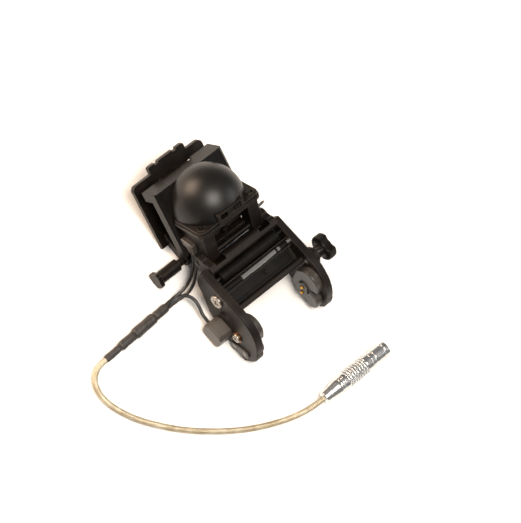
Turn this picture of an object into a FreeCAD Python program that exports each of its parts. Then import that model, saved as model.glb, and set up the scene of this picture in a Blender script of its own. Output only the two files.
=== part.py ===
import FreeCAD, Part
import math
import os

# Camera mount with a quick-attach plate, a height slide and a flip-up fork, lying as it is put down on a table.
# Millimetres. X runs across the mount, -Y is its front and +Z is up. Three frames share the dome's centre and
# lean back about X; in each of them a point is (x, forward, up).

# ---- driving dimensions -------------------------------------------------------------------------------------
dome_back = 23.532        # dome centre behind the origin
dome_height = 32.0        # dome centre above the table
flange_lean = 42.0        # the flange and dome lean back by this many degrees
housing_lean = 60.0       # the slab housing and the rear plate
fork_lean = 7.0           # the ears
deck_slope = 19.5         # the fork's deck falls forward from the ears' top edge by this much

running = 0.06            # radial clearance of shafts that turn or slide
sliding = 0.15            # clearance of each face of the slides
seat = 0.03               # radial clearance of fixed pins, screws and axles
free = 0.3                # clearance between parts that only pass each other

dome_radius = 20.2
dome_wall = 1.8
bezel_width = 42.6
bezel_front = 19.2        # bezel's front edge ahead of the dome's axis
bezel_back = -2.9
bezel_thick = 1.7
flange_thick = 1.8
flange_corner = 4.0
bezel_inset = 0.5         # the bezel stands in from the flange below it
bezel_screw_x = 17.3
bezel_screw_f = 14.9
bezel_screw_head = 2.4    # radius
bezel_screw_shank = 1.25

latch_half = 9.0          # tab at the dome's front
latch_height = 5.2
latch_front = 20.3
latch_back = 17.7
latch_window = 7.5
latch_travel = 4.5

housing_half = 23.5
housing_front = -4.0      # front face, in the housing's frame
housing_top = 17.9
housing_bottom = -21.0
shell_depth = 7.0
cover_depth = 6.5
housing_wall = 2.0
cover_step = 3.0          # the back cover's sides stand in by this much
cover_step_top = 12.5     # above this the cover is as wide as the shell

plate_half = 24.4
plate_front = -24.0
plate_thick = 2.5
plate_top = 20.3
plate_crest = 4.0         # the middle of the plate's top stands up by this much
rail_half = 10.0
rail_top = 15.7
rail_sink = 2.7           # the rail enters the cover's channel by this much
fixing_circle = 36.0      # four fixing holes of the rear plate, on this circle
fixing_hole = 1.7

bar_radius = 3.6
bar_t = -17.0             # release bar's axis in the housing's frame
bar_s = -27.0
bar_end = -37.6
bar_rod = 2.1
bar_guide_half = 20.0
bar_travel = 4.0
cap_half = 4.2
cap_end = -40.0
height_travel = 8.0

pivot_g = 22.0            # flip hinge axis in the fork's frame
pivot_n = -10.0
pivot_pin = 1.6
lug_radius = 4.0
post_inner = 12.2
post_outer = 19.2
flip_up = 60.0
rod_f = 7.7
rod_radius = 1.2
rod_ridge = 1.6
rod_pitch = 2.3

deck_g = 26.7             # rear top edge of the fork's deck, in the fork's frame
deck_n = -3.0
deck_length = 30.0
deck_thick = 11.5
ridge_depth = 6.2
slot_width = 7.8
roller_radius = 3.3
roller_bore = 1.3
steel_d = 16.4            # polished rod's axis on the deck
steel_n = -1.7
steel_radius = 1.6
panel_back = 18.9
panel_front = 26.8
panel_floor = -5.4

ear_inner = 23.4
ear_thick = 4.4
ear_top = -7.2
guide_thick = 4.2
knob_g = 55.3
knob_n = -12.6
knob_stem = 2.0
knob_radius = 7.5
knob_out = 12.2              # the knob stands out of the right ear by this much
knob_thick = 5.2
hub_radius = 5.2
hub_thick = 1.8
big_screw = (42.6, -15.2)          # (forward, up) on the ears
lock_screw = (62.0, -27.2)
detent = (69.4, -23.9)
detent_radius = 1.4
detent_out = 1.6          # a plunger stands out of the ear's inner face by this much
contacts = [(62.8, -25.3), (64.1, -29.5)]
contact_radius = 0.9
contact_travel = 0.6
sensor_thick = 8.6        # the sensor block stands out of the left ear by this much

wire_diameter = 1.9
lead_diameter = 3.3
sleeve_height = 3.2       # axis of the splice above the table
plug_radius = 4.75

x_axis = FreeCAD.Vector(1, 0, 0)
ear_outer = ear_inner + ear_thick
knob_end = ear_outer + knob_out
sensor_out = ear_outer + sensor_thick
sensor_exit = -ear_outer - 4.4
guide_face = ear_inner - guide_thick
parts = {}


# ---- frames and building blocks -----------------------------------------------------------------------------
def vec(x, forward, up):
    """A frame's (x, forward, up) as a vector."""
    return FreeCAD.Vector(x, -forward, up)


def leaning(lean):
    """The frame through the dome's centre that leans back by `lean` degrees."""
    centre = FreeCAD.Vector(0, dome_back, dome_height)
    return FreeCAD.Placement(centre, FreeCAD.Rotation(x_axis, -lean))


flange = leaning(flange_lean)
housing = leaning(housing_lean)
fork = leaning(fork_lean)
deck = fork.multiply(FreeCAD.Placement(vec(0, deck_g, deck_n), FreeCAD.Rotation(x_axis, deck_slope)))
table = FreeCAD.Placement()


def block(x, forward, up):
    """A box between the two values of each coordinate."""
    return Part.makeBox(x[1] - x[0], forward[1] - forward[0], up[1] - up[0], vec(x[0], forward[1], up[0]))


def across(forward, up, radius, x):
    """A cylinder along X."""
    return Part.makeCylinder(radius, x[1] - x[0], vec(x[0], forward, up), x_axis)


def upright(x, forward, radius, up):
    """A cylinder along the frame's up direction."""
    return Part.makeCylinder(radius, up[1] - up[0], vec(x, forward, up[0]), FreeCAD.Vector(0, 0, 1))


def lengthways(x, up, radius, forward):
    """A cylinder along the frame's forward direction."""
    return Part.makeCylinder(radius, forward[1] - forward[0], vec(x, forward[0], up), FreeCAD.Vector(0, -1, 0))


def prism(outline, x):
    """An outline in (forward, up), carried along X. A step that is a pair of points is an arc through both."""
    edges = []
    here = outline[0]
    for step in outline[1:] + [outline[0]]:
        if isinstance(step[0], tuple):
            middle, end = step
            edges.append(Part.Arc(vec(x[0], *here), vec(x[0], *middle), vec(x[0], *end)).toShape())
            here = end
        elif math.dist(here, step) > 1e-6:
            edges.append(Part.LineSegment(vec(x[0], *here), vec(x[0], *step)).toShape())
            here = step
    return Part.Face(Part.Wire(edges)).extrude(FreeCAD.Vector(x[1] - x[0], 0, 0))


def both(make):
    """The solids of both sides, from a function of the side's sign."""
    return [make(-1), make(1)]


def span(side, inner, outer):
    """The X range from inner to outer on one side, in rising order."""
    return (side * inner, side * outer) if side > 0 else (side * outer, side * inner)


def along(direction, solid_edges, length=0.0):
    """The straight edges that run along a direction and are longer than `length`."""
    found = []
    for edge in solid_edges:
        if edge.Curve.TypeId == "Part::GeomLine" and edge.Length > length:
            if abs(edge.tangentAt(edge.FirstParameter).dot(direction)) > 0.999:
                found.append(edge)
    return found


def at_x(solid, x):
    """The edges that lie whole in the plane at x."""
    return [e for e in solid.Edges if abs(e.BoundBox.XMin - x) < 1e-4 and abs(e.BoundBox.XMax - x) < 1e-4]


def keep(name, frame, solids):
    """Store a node's solid, or its group of separate solids, placed from its frame."""
    group = solids if isinstance(solids, list) else [solids]
    placed = []
    for shape in group:
        for solid in shape.Solids:
            moved = solid.copy()
            moved.Placement = frame.multiply(moved.Placement)
            placed.append(moved)
    parts[name] = placed[0] if len(placed) == 1 else Part.makeCompound(placed)


# ---- base: rear plate, rail and release-bar guide -----------------------------------------------------------
def table_line(t):
    """Height in the housing's frame at which the table lies, at forward place t."""
    lean = math.radians(housing_lean)
    return (-dome_height - t * math.sin(lean)) / math.cos(lean)


foot_top = table_line(plate_front - plate_thick) + 6.0


def rear_plate():
    back = plate_front - plate_thick
    foot_end = bar_t - bar_radius * 0.87
    foot = [(back, table_line(back)), (foot_end, table_line(foot_end)),
            (bar_t, bar_s), (bar_t - 1.0, bar_s + bar_radius), (plate_front, foot_top)]
    plate = block((-plate_half, plate_half), (back, plate_front), (table_line(back), plate_top))
    corners = [e for e in along(vec(0, 1, 0), plate.Edges) if e.BoundBox.ZMin > plate_top - 0.1]
    plate = plate.makeFillet(3.0, corners)
    lean_foot = prism(foot, (-bar_guide_half, bar_guide_half))
    guide = across(bar_t, bar_s, bar_radius, (-bar_guide_half, bar_guide_half))
    plate = plate.fuse([lean_foot, guide])
    crest = block((-11.0, 14.0), (back, plate_front), (plate_top - 0.5, plate_top + plate_crest))
    crest = crest.makeFillet(1.2, [e for e in along(vec(0, 1, 0), crest.Edges) if e.BoundBox.ZMin > plate_top])
    plate = plate.fuse(crest)
    for low, high in ((-6.2, -4.0), (6.5, 8.7)):
        notch = (plate_top + plate_crest - 1.0, plate_top + plate_crest + 1)
        plate = plate.cut(block((low, high), (back - 1, plate_front + 1), notch))
    half_square = fixing_circle / 2 / math.sqrt(2)
    for x in (-half_square, half_square):
        for s in (-half_square, half_square):
            plate = plate.cut(lengthways(x, s, fixing_hole, (back - 1, plate_front + 1)))
    for s in (-9.0, 9.0):
        plate = plate.cut(lengthways(0, s, 1.5 + seat, (back - 1, plate_front + 1)))
        plate = plate.cut(lengthways(0, s, 2.8 + seat, (back - 1, back + 1.3)))
    bore = across(bar_t, bar_s, bar_rod + running, (-bar_guide_half - 1, bar_guide_half - 2))
    return plate.cut(bore).removeSplitter()


rail_front = housing_front - shell_depth - cover_depth + rail_sink


def slide_rail():
    rail = block((-rail_half, rail_half), (plate_front, rail_front), (foot_top + 0.2, rail_top))
    waist = [span(side, rail_half - 2.0, rail_half + 1) for side in (-1, 1)]
    for x in waist:
        rail = rail.cut(block(x, (plate_front - 1, plate_front + 3.0), (-17, rail_top + 1)))
    for s in (-9.0, 9.0):
        rail = rail.cut(lengthways(0, s, 1.5 + seat, (plate_front - 1, plate_front + 6.0)))
    return rail


def rail_screw(s):
    back = plate_front - plate_thick
    head = lengthways(0, s, 2.8, (back + 0.1, back + 1.3))
    screw = head.fuse(lengthways(0, s, 1.5, (back + 1.3, plate_front + 5.5)))
    return screw.cut(block((-1.6, 1.6), (back, back + 0.7), (s - 0.3, s + 0.3)))


keep("rear_plate", housing, rear_plate())
keep("slide_rail", housing, slide_rail())
keep("rail_screws", housing, [rail_screw(s) for s in (-9.0, 9.0)])


# ---- release bar --------------------------------------------------------------------------------------------
bar_start = -bar_guide_half - bar_travel - 0.5
bar = across(bar_t, bar_s, bar_radius - 0.1, (bar_end, bar_start))
bar = bar.fuse(across(bar_t, bar_s, bar_rod, (bar_end, 4.0))).removeSplitter()
cap = block((cap_end, bar_end), (bar_t - cap_half, bar_t + cap_half), (bar_s - cap_half, bar_s + cap_half))
cap = cap.common(across(bar_t, bar_s, 4.9, (cap_end - 1, 0)))
floor_cut = [(bar_t - 9, table_line(bar_t - 9)), (bar_t + 9, table_line(bar_t + 9)),
             (bar_t + 9, table_line(bar_t + 9) - 9), (bar_t - 9, table_line(bar_t - 9) - 25)]
cap = cap.cut(prism(floor_cut, (cap_end - 1, bar_end + 1)))
keep("release_bar", housing, bar)
keep("release_cap", housing, cap)
spring_tube = across(bar_t, bar_s, bar_rod - 0.2, (4.2 + bar_travel, 17.8))
keep("release_spring", housing, spring_tube.cut(across(bar_t, bar_s, bar_rod - 0.7, (0, 20))))


# ---- carriage: housing shell and back cover -----------------------------------------------------------------
def housing_shell():
    back = housing_front - shell_depth
    shell = block((-housing_half, housing_half), (back, housing_front), (housing_bottom, housing_top))
    sides = [e for e in along(vec(0, 0, 1), shell.Edges) if e.BoundBox.YMin < -housing_front + 0.1]
    shell = shell.makeChamfer(1.6, sides)
    rim = [e for e in along(x_axis, shell.Edges) if e.BoundBox.YMin < -housing_front + 0.1]
    shell = shell.makeFillet(0.5, rim)
    inside = housing_half - housing_wall
    hollow = block((-inside, inside), (back - 1, housing_front - housing_wall),
                   (housing_bottom + housing_wall, housing_top - housing_wall))
    shell = shell.cut(hollow)
    for x, s in housing_screw_places():
        shell = shell.fuse(lengthways(x, s, 2.4, (back, housing_front - housing_wall + 0.1)))
        shell = shell.cut(lengthways(x, s, 1.0 + seat, (back - 1, back + 4.5)))
    return shell.removeSplitter()


def housing_screw_places():
    """Places (x, up) of the four screws that close the housing."""
    high = cover_step_top - 1.0
    return [(x, s) for x in (-16.5, 16.5) for s in (housing_bottom + 4.6, high)]


def back_cover():
    front = housing_front - shell_depth
    back = front - cover_depth
    narrow = housing_half - cover_step
    cover = block((-narrow, narrow), (back, front), (housing_bottom, housing_top))
    cover = cover.fuse(block((-housing_half, housing_half), (back, front), (cover_step_top, housing_top)))
    cover = cover.removeSplitter()
    inside = narrow - housing_wall
    cover = cover.cut(block((-inside, inside), (front - 2.0, front + 1),
                            (housing_bottom + housing_wall, housing_top - housing_wall)))
    half = rail_half + sliding
    channel = (-half, half), (back - 1, rail_front + sliding), (housing_bottom - 1, housing_top + 1)
    cover = cover.cut(block(*channel))
    for x, s in housing_screw_places():
        cover = cover.cut(lengthways(x, s, 1.0 + seat, (back - 1, front + 1)))
        cover = cover.cut(lengthways(x, s, 1.9 + seat, (back - 1, back + 1.5)))
    return cover


def housing_screw(x, s):
    back = housing_front - shell_depth - cover_depth
    screw = lengthways(x, s, 1.9, (back + 0.1, back + 1.5))
    screw = screw.fuse(lengthways(x, s, 1.0, (back + 1.5, back + cover_depth + 4.0)))
    return screw.cut(lengthways(x, s, 0.8, (back, back + 0.9)))


keep("housing_shell", housing, housing_shell())
keep("back_cover", housing, back_cover())
keep("housing_screws", housing, [housing_screw(x, s) for x, s in housing_screw_places()])


# ---- carriage: bracket, bezel, dome and latch ---------------------------------------------------------------
front_gap = housing_front + 0.02


def to_frame(shape, source, target):
    """A shape given in one frame, in another frame's coordinates."""
    moved = shape.copy()
    moved.Placement = target.inverse().multiply(source.multiply(moved.Placement))
    return moved


def behind_front():
    """Everything behind the housing's front face, in the housing's frame."""
    return block((-30, 30), (-60, front_gap), (-60, 60))


def plate_outline(inset, up):
    """The flange's plate with its two rounded front corners."""
    half = bezel_width / 2 - inset
    plate = block((-half, half), (bezel_back, bezel_front - inset), up)
    front = [e for e in along(vec(0, 0, 1), plate.Edges) if e.BoundBox.YMax < -bezel_front + inset + 0.1]
    return plate.makeFillet(flange_corner - inset, front)


flange_turn = math.radians(flange_lean - fork_lean)
pivot_f = pivot_g * math.cos(flange_turn) + pivot_n * math.sin(flange_turn)
pivot_u = -pivot_g * math.sin(flange_turn) + pivot_n * math.cos(flange_turn)
flange_low = -bezel_thick - flange_thick


def bracket():
    body = plate_outline(0, (flange_low, -bezel_thick))
    wall = block((-post_outer, post_outer), (front_gap, front_gap + 2.2), (housing_bottom + 1.5, -1.2))
    wall = to_frame(wall, housing, flange)
    room = block((-30, 30), (-30, 30), (-60, flange_low + 0.2))
    web = block((-post_inner - 1, post_inner + 1), (rod_f - 7.5, rod_f + 1.8), (pivot_u - 1.2, pivot_u + 1.8))
    pieces = [wall.common(room), web]
    for side in (-1, 1):
        x = span(side, post_inner, post_outer)
        pieces.append(block(x, (pivot_f - lug_radius, pivot_f + lug_radius), (pivot_u, flange_low + 0.1)))
        pieces.append(across(pivot_f, pivot_u, lug_radius, x))
        cheek = span(side, post_outer - 3.0, post_outer)
        pieces.append(block(cheek, (-1.5, pivot_f), (pivot_u + 2.0, flange_low + 0.1)))
    body = body.fuse(pieces)
    body = body.cut(to_frame(behind_front(), housing, flange))
    body = body.cut(across(pivot_f, pivot_u, pivot_pin + seat, (-post_outer - 1, post_outer + 1)))
    for x in (-bezel_screw_x, bezel_screw_x):
        body = body.cut(upright(x, bezel_screw_f, bezel_screw_shank + seat, (flange_low - 6.0, 1)))
    body = body.cut(upright(0, rod_f, rod_radius + seat, (pivot_u + 0.5, 0)))
    return body.removeSplitter()


def bezel_plate():
    plate = plate_outline(bezel_inset, (-bezel_thick, 0))
    plate = plate.fuse(block((-latch_half, latch_half), (10, latch_front - 0.3), (-bezel_thick, 0)))
    plate = plate.removeSplitter().cut(to_frame(behind_front(), housing, flange))
    for x in (-bezel_screw_x, bezel_screw_x):
        plate = plate.cut(upright(x, bezel_screw_f, bezel_screw_shank + seat, (-3, 1)))
        plate = plate.cut(upright(x, bezel_screw_f, bezel_screw_head + 0.15, (-1.1, 1)))
    return plate


def bezel_screw(x):
    head = upright(x, bezel_screw_f, bezel_screw_head, (-1.1, 0.35))
    head = head.makeFillet(0.3, [e for e in head.Edges if e.BoundBox.ZMin > 0.3])
    screw = head.fuse(upright(x, bezel_screw_f, bezel_screw_shank, (flange_low - 5.5, -1.1)))
    return screw.cut(upright(x, bezel_screw_f, 1.25, (-0.8, 1)))


def dome_cover():
    centre = FreeCAD.Vector(0, 0, 0)
    outer = Part.makeSphere(dome_radius, centre)
    dome = outer.cut(Part.makeSphere(dome_radius - dome_wall, centre))
    above = block((-30, 30), (-30, 30), (0.0, 30))
    ahead = to_frame(block((-30, 30), (front_gap, 40), (-40, 40)), housing, flange)
    dome = dome.common(above).common(ahead)
    tab = block((-latch_half - 0.1, latch_half + 0.1), (15.0, 30), (-1, latch_height + 0.1))
    return dome.cut(tab)


def latch_frame():
    tab = block((-latch_half, latch_half), (latch_back, latch_front), (0.0, latch_height))
    tab = tab.makeFillet(0.5, [e for e in along(x_axis, tab.Edges) if e.BoundBox.ZMin > 1])
    tab = tab.makeFillet(0.5, [e for e in along(vec(0, 0, 1), tab.Edges) if e.BoundBox.YMin < -latch_front + 0.1])
    return tab.cut(block((-latch_window, latch_window), (0, 30), (1.1, 4.3)))


def latch_slider():
    block_low = -latch_window + latch_travel + 0.3
    slider = block((block_low, latch_window - sliding), (latch_back - 0.3, latch_front), (1.1 + sliding, 4.3 - sliding))
    back = block((block_low - 0.9, latch_window + 1.0), (latch_back - 1.1, latch_back - sliding), (0.5, 4.9))
    ribs = [block((x, x + 0.7), (latch_front - 0.1, latch_front + 0.7), (1.4, 4.0)) for x in (2.6, 4.3, 6.0)]
    return slider.fuse([back] + ribs).removeSplitter()


def guide_rod():
    rod = upright(0, rod_f, rod_radius, (pivot_u + 0.6, -bezel_thick))
    ridges = [upright(0, rod_f, rod_ridge, (flange_low - 1.6 - i * rod_pitch, flange_low - 0.5 - i * rod_pitch))
              for i in range(6)]
    return rod.fuse(ridges)


keep("bracket", flange, bracket())
keep("bezel_plate", flange, bezel_plate())
keep("bezel_screws", flange, [bezel_screw(x) for x in (-bezel_screw_x, bezel_screw_x)])
keep("dome_cover", flange, dome_cover())
keep("latch_frame", flange, latch_frame())
keep("latch_slider", flange, latch_slider())
keep("guide_rod", flange, guide_rod())
hinge_half = ear_inner - 0.4
keep("hinge_pin", fork, across(pivot_g, pivot_n, pivot_pin, (-hinge_half, hinge_half)))


# ---- fork: deck, rods and panel -----------------------------------------------------------------------------
def to_deck(g, n):
    """A point of the fork's frame, in the deck's."""
    slope = math.radians(deck_slope)
    dg, dn = g - deck_g, n - deck_n
    return dg * math.cos(slope) - dn * math.sin(slope), dg * math.sin(slope) + dn * math.cos(slope)


slot_back = ridge_depth
slot_front = ridge_depth + slot_width
roller_d = (slot_back + slot_front) / 2
roller_n = -roller_radius - 0.8


def fork_deck():
    trough = steel_n - steel_radius - 0.4
    low = -deck_thick
    section = [(0, -2.4), ((0.8, -0.8), (2.6, 0)), (5.0, 0), (slot_back, -1.2), (slot_back, low + 2.5),
               (slot_front, low + 2.5), (slot_front, -2.2), (steel_d - steel_radius - 0.3, -2.2),
               (steel_d - steel_radius - 0.3, trough), (steel_d + steel_radius + 0.3, trough),
               (steel_d + steel_radius + 0.3, -2.2), (panel_back, -2.2), (panel_back, panel_floor),
               (panel_front, panel_floor), (panel_front, -1.0), ((panel_front + 0.3, -0.3), (panel_front + 1.0, 0)),
               (deck_length - 0.8, 0), ((deck_length - 0.2, -0.3), (deck_length, -0.9)), (deck_length, low + 1.5),
               (deck_length - 1.5, low), (2.5, low), (0, low + 2.5)]
    body = prism(section, (-ear_inner, ear_inner))
    d, n = to_deck(pivot_g, pivot_n)
    reach = lug_radius + free
    swept = math.radians(90 + flange_lean - fork_lean + deck_slope - flip_up - 2.0)
    ahead = math.sin(swept), -math.cos(swept)
    away = math.cos(swept), math.sin(swept)
    near = d + ahead[0] * reach, n + ahead[1] * reach
    far = near[0] + away[0] * 30, near[1] + away[1] * 30
    post_sweep = [near, far, (far[0] - ahead[0] * 40, far[1] - ahead[1] * 40),
                  (near[0] - ahead[0] * 40, near[1] - ahead[1] * 40)]
    for side in (-1, 1):
        lug = span(side, post_outer + 0.2, ear_inner)
        body = body.fuse(across(d, n, lug_radius, lug))
        body = body.fuse(prism([(d, n + lug_radius), (2.7, -0.3), (2.7, low), (d, n - lug_radius)], lug))
        notch = span(side, post_inner - free, post_outer + 0.2)
        body = body.cut(across(d, n, reach, notch))
        body = body.cut(prism(post_sweep, notch))
        body = body.cut(to_frame(across(*big_screw, 1.5 + seat, span(side, ear_inner - 1.8, ear_inner + 1)), fork, deck))
    body = body.cut(across(d, n, pivot_pin + running, (-ear_inner - 1, ear_inner + 1)))
    return body.removeSplitter()


def roller():
    half = ear_inner - 3.2
    drum = across(roller_d, roller_n, roller_radius, (-half, half))
    drum = drum.makeChamfer(0.5, at_x(drum, -half) + at_x(drum, half))
    return drum.cut(across(roller_d, roller_n, roller_bore + running, (-half - 1, half + 1)))


def inner_panel():
    half = ear_inner - 2.0
    plate = block((-half, half), (panel_back + 0.1, panel_front - 0.1), (panel_floor, panel_floor + 1.8))
    recess = block((-half + 1.5, half - 1.5), (panel_back + 1.6, panel_front - 1.6), (panel_floor + 1.0, 0))
    plate = plate.cut(recess)
    return plate


keep("fork_deck", deck, fork_deck())
keep("slot_roller", deck, roller())
axle_half = ear_inner + 1.5
keep("roller_axle", deck, across(roller_d, roller_n, roller_bore, (-axle_half, axle_half)))
keep("steel_rod", deck, across(steel_d, steel_n, steel_radius, (-axle_half, axle_half)))
keep("inner_panel", deck, inner_panel())
boss = upright(3.6, panel_back + 3.4, 1.2, (panel_floor + 1.0, panel_floor + 2.4))
keep("panel_boss", deck, boss.makeFillet(0.3, [e for e in boss.Edges if e.BoundBox.ZMin > panel_floor + 2.3]))


# ---- fork: ears and what they carry -------------------------------------------------------------------------
def table_under(g):
    """Height in the fork's frame at which the table lies, at forward place g."""
    lean = math.radians(fork_lean)
    return (-dome_height - g * math.sin(lean)) / math.cos(lean)


def ear_blank():
    """The right ear without its hub, with the holes that both ears have."""
    foot_front, foot_back = 72.0, 52.0
    outline = [(28.2, ear_top), (56.5, ear_top), ((69.6, -12.4), (76.6, -24.5)),
               ((77.6, -30.5), (75.4, -36.2)), (foot_front, table_under(foot_front)),
               (foot_back, table_under(foot_back)),
               (41.0, -32.6), (26.8, -17.2), ((26.2, -12.0), (28.2, ear_top))]
    plate = prism(outline, (ear_inner, ear_outer))
    rods = (ear_inner - 1, axle_half + 0.1)
    holes = [to_frame(across(roller_d, roller_n, roller_bore + seat, rods), deck, fork),
             to_frame(across(steel_d, steel_n, steel_radius + seat, rods), deck, fork)]
    for place in (big_screw, lock_screw):
        holes.append(across(*place, 1.5 + seat, (ear_inner - 1, ear_outer + 1)))
    holes.append(across(*detent, detent_radius + running, (ear_inner - 1, ear_outer - 0.8)))
    plate = plate.cut(holes)
    rim = [edge for edge in at_x(plate, ear_outer) if not edge.isClosed()]
    return plate.makeFillet(0.9, rim)


def right_ear():
    hub = across(knob_g, knob_n, hub_radius, (ear_inner + 0.1, ear_outer + hub_thick))
    plate = ear_blank().fuse(hub).removeSplitter()
    return plate.cut(across(knob_g, knob_n, knob_stem + running, (0, 60)))


def left_ear():
    plate = ear_blank().mirror(FreeCAD.Vector(), x_axis)
    return plate.cut(Part.makeCone(3.2, 0.4, 1.2, vec(-ear_outer, 50.0, -20.3), x_axis))


def guide(side):
    """The two-lobed shoe on an ear's inner face, with the gap that takes the camera's lug."""
    x = span(side, ear_inner - guide_thick, ear_inner)
    outline = [(54.8, -18.5), (58.5, -13.8), ((65.5, -12.2), (70.5, -17.5)), (71.5, -20.6), (66.0, -24.5), (73.0, -27.2),
               ((75.2, -31.5), (71.8, -36.8)), (60.5, -36.2), (55.0, -30.5)]
    shoe = prism(outline, x)
    shoe = shoe.makeFillet(0.7, at_x(shoe, side * (ear_inner - guide_thick)))
    if side > 0:
        for place in contacts:
            shoe = shoe.cut(across(*place, contact_radius + running, (0, 60)))
    return shoe


keep("left_ear", fork, left_ear())
keep("right_ear", fork, right_ear())
keep("left_guide", fork, guide(-1))
keep("right_guide", fork, guide(1))


def cross_screw(place, head_radius, head_thick, shank_end, side, lift=0.0):
    """A pan screw with a cross recess, its head on the ear's outer face."""
    start = ear_outer + lift
    head = across(*place, head_radius, span(side, start, start + head_thick))
    head = head.makeFillet(head_thick * 0.5, at_x(head, side * (start + head_thick)))
    screw = head.fuse(across(*place, 1.5, span(side, shank_end, start + 0.1)))
    g, n = place
    arm, wide = head_radius * 0.55, head_radius * 0.13
    for reach in ((arm, wide), (wide, arm)):
        depth = span(side, start + head_thick * 0.45, start + head_thick + 1)
        screw = screw.cut(block(depth, (g - reach[0], g + reach[0]), (n - reach[1], n + reach[1])))
    return screw.removeSplitter()


ring_thick = 0.5
keep("ear_screws", fork, both(lambda side: cross_screw(big_screw, 4.0, 1.3, ear_inner - 1.6, side)))
keep("lock_screws", fork, both(lambda side: cross_screw(lock_screw, 2.7, 1.2, ear_inner + 1.5, side, ring_thick)))


def lock_ring(side):
    ring = across(*lock_screw, 3.4, span(side, ear_outer, ear_outer + ring_thick))
    return ring.cut(across(*lock_screw, 1.5 + seat, span(side, ear_outer - 1, ear_outer + 2)))


keep("lock_rings", fork, both(lock_ring))


def plunger(side):
    low, high = ear_inner - detent_out, ear_inner + 1.5
    pin = across(*detent, detent_radius, span(side, low, high))
    return pin.makeFillet(1.1, at_x(pin, side * low))


def plunger_spring(side):
    """The spring at its pressed length, behind the plunger's travel."""
    length = span(side, ear_inner + detent_out + 1.4, ear_outer - 0.85)
    return across(*detent, detent_radius - 0.1, length).cut(across(*detent, 0.8, length))


keep("left_plunger", fork, plunger(-1))
keep("right_plunger", fork, plunger(1))
keep("plunger_springs", fork, both(plunger_spring))


def contact_block():
    outline = [(58.6, -30.4), (59.6, -24.4), (61.4, -23.0), (65.6, -23.9), (67.4, -27.0), (66.6, -31.6), (62.0, -33.2)]
    base = prism(outline, (guide_face - 1.1, guide_face))
    base = base.makeFillet(0.3, at_x(base, guide_face - 1.1))
    for place in contacts:
        base = base.cut(across(*place, contact_radius + running, (0, 60)))
    return base


def contact_pin(place):
    tip = guide_face - 1.1 - contact_travel - 0.5
    pin = across(*place, contact_radius, (tip, guide_face + 0.6))
    return pin.makeFillet(0.5, at_x(pin, tip))


keep("contact_block", fork, contact_block())
keep("contact_pins", fork, [contact_pin(place) for place in contacts])


# ---- thumb knob ---------------------------------------------------------------------------------------------
knob_start = knob_end - knob_thick
hub_end = ear_outer + hub_thick


def thumb_knob():
    wheel = across(knob_g, knob_n, knob_radius, (knob_start, knob_end))
    for up in (-1, 1):
        scallop = across(knob_g, knob_n + up * (knob_radius + 3.4), 6.4, (knob_start - 1, knob_end + 1))
        wheel = wheel.cut(scallop)
    wheel = wheel.makeFillet(0.9, at_x(wheel, knob_end) + at_x(wheel, knob_start))
    wheel = wheel.cut(across(knob_g, knob_n, 3.6, (knob_end - 1.2, knob_end + 1)))
    ribs = [block((knob_end - 1.3, knob_end - 0.2), (knob_g + g - 0.3, knob_g + g + 0.3), (knob_n - 2.6, knob_n + 2.6))
            for g in (-1.9, -0.65, 0.6, 1.85)]
    neck = across(knob_g, knob_n, 3.4, (hub_end + 1.2, knob_start + 0.5))
    return wheel.fuse(ribs + [neck]).cut(across(knob_g, knob_n, knob_stem + seat, (0, knob_end - 2.4))).removeSplitter()


keep("thumb_knob", fork, thumb_knob())
keep("knob_stem", fork, across(knob_g, knob_n, knob_stem, (ear_inner + 0.5, knob_end - 2.4)))
washer = across(knob_g, knob_n, 4.2, (hub_end + 0.25, hub_end + 1.0))
keep("knob_washer", fork, washer.cut(across(knob_g, knob_n, knob_stem + running, (0, 60))))


# ---- sensor block and oval cover on the left ear ------------------------------------------------------------
def sensor_block():
    low = table_under(52.0) + 1.0
    outline = [(45.6, -30.5), (48.6, -26.6), (56.6, -26.4), (58.4, -28.6), (58.4, -35.2),
               ((56.6, -37.6), (53.8, low)), (50.0, low), ((46.6, -36.8), (45.6, -33.6))]
    body = prism(outline, (-sensor_out, -ear_outer))
    return body.makeFillet(1.0, at_x(body, -sensor_out))


def oval_cover():
    ends = [(62.6, -36.3), (70.6, -33.4)]
    x = (-ear_outer - 1.1, -ear_outer)
    length = math.dist(*ends)
    side = [(ends[1][0] - ends[0][0]) / length, (ends[1][1] - ends[0][1]) / length]
    half = 2.6
    corners = [(ends[0][0] - side[1] * half, ends[0][1] + side[0] * half),
               (ends[1][0] - side[1] * half, ends[1][1] + side[0] * half),
               (ends[1][0] + side[1] * half, ends[1][1] - side[0] * half),
               (ends[0][0] + side[1] * half, ends[0][1] - side[0] * half)]
    plate = prism(corners, x).fuse([across(*end, half, x) for end in ends]).removeSplitter()
    plate = plate.makeFillet(0.35, at_x(plate, x[0]))
    for place in oval_screw_places():
        plate = plate.cut(across(*place, 0.7 + seat, (x[0] - 1, x[1] + 1)))
        plate = plate.cut(across(*place, 1.3 + seat, (x[0] - 1, x[1] - 0.4)))
    return plate


def oval_screw_places():
    return [(62.9, -36.2), (70.3, -33.5)]


def oval_screw(place):
    screw = across(*place, 1.3, (-ear_outer - 1.0, -ear_outer - 0.45))
    screw = screw.fuse(across(*place, 0.7, (-ear_outer - 0.5, -ear_outer - 0.02)))
    return screw.cut(block((-ear_outer - 2, -ear_outer - 0.8), (place[0] - 0.9, place[0] + 0.9),
                           (place[1] - 0.18, place[1] + 0.18)))


keep("sensor_block", fork, sensor_block())
keep("oval_cover", fork, oval_cover())
keep("oval_screws", fork, [oval_screw(place) for place in oval_screw_places()])


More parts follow.
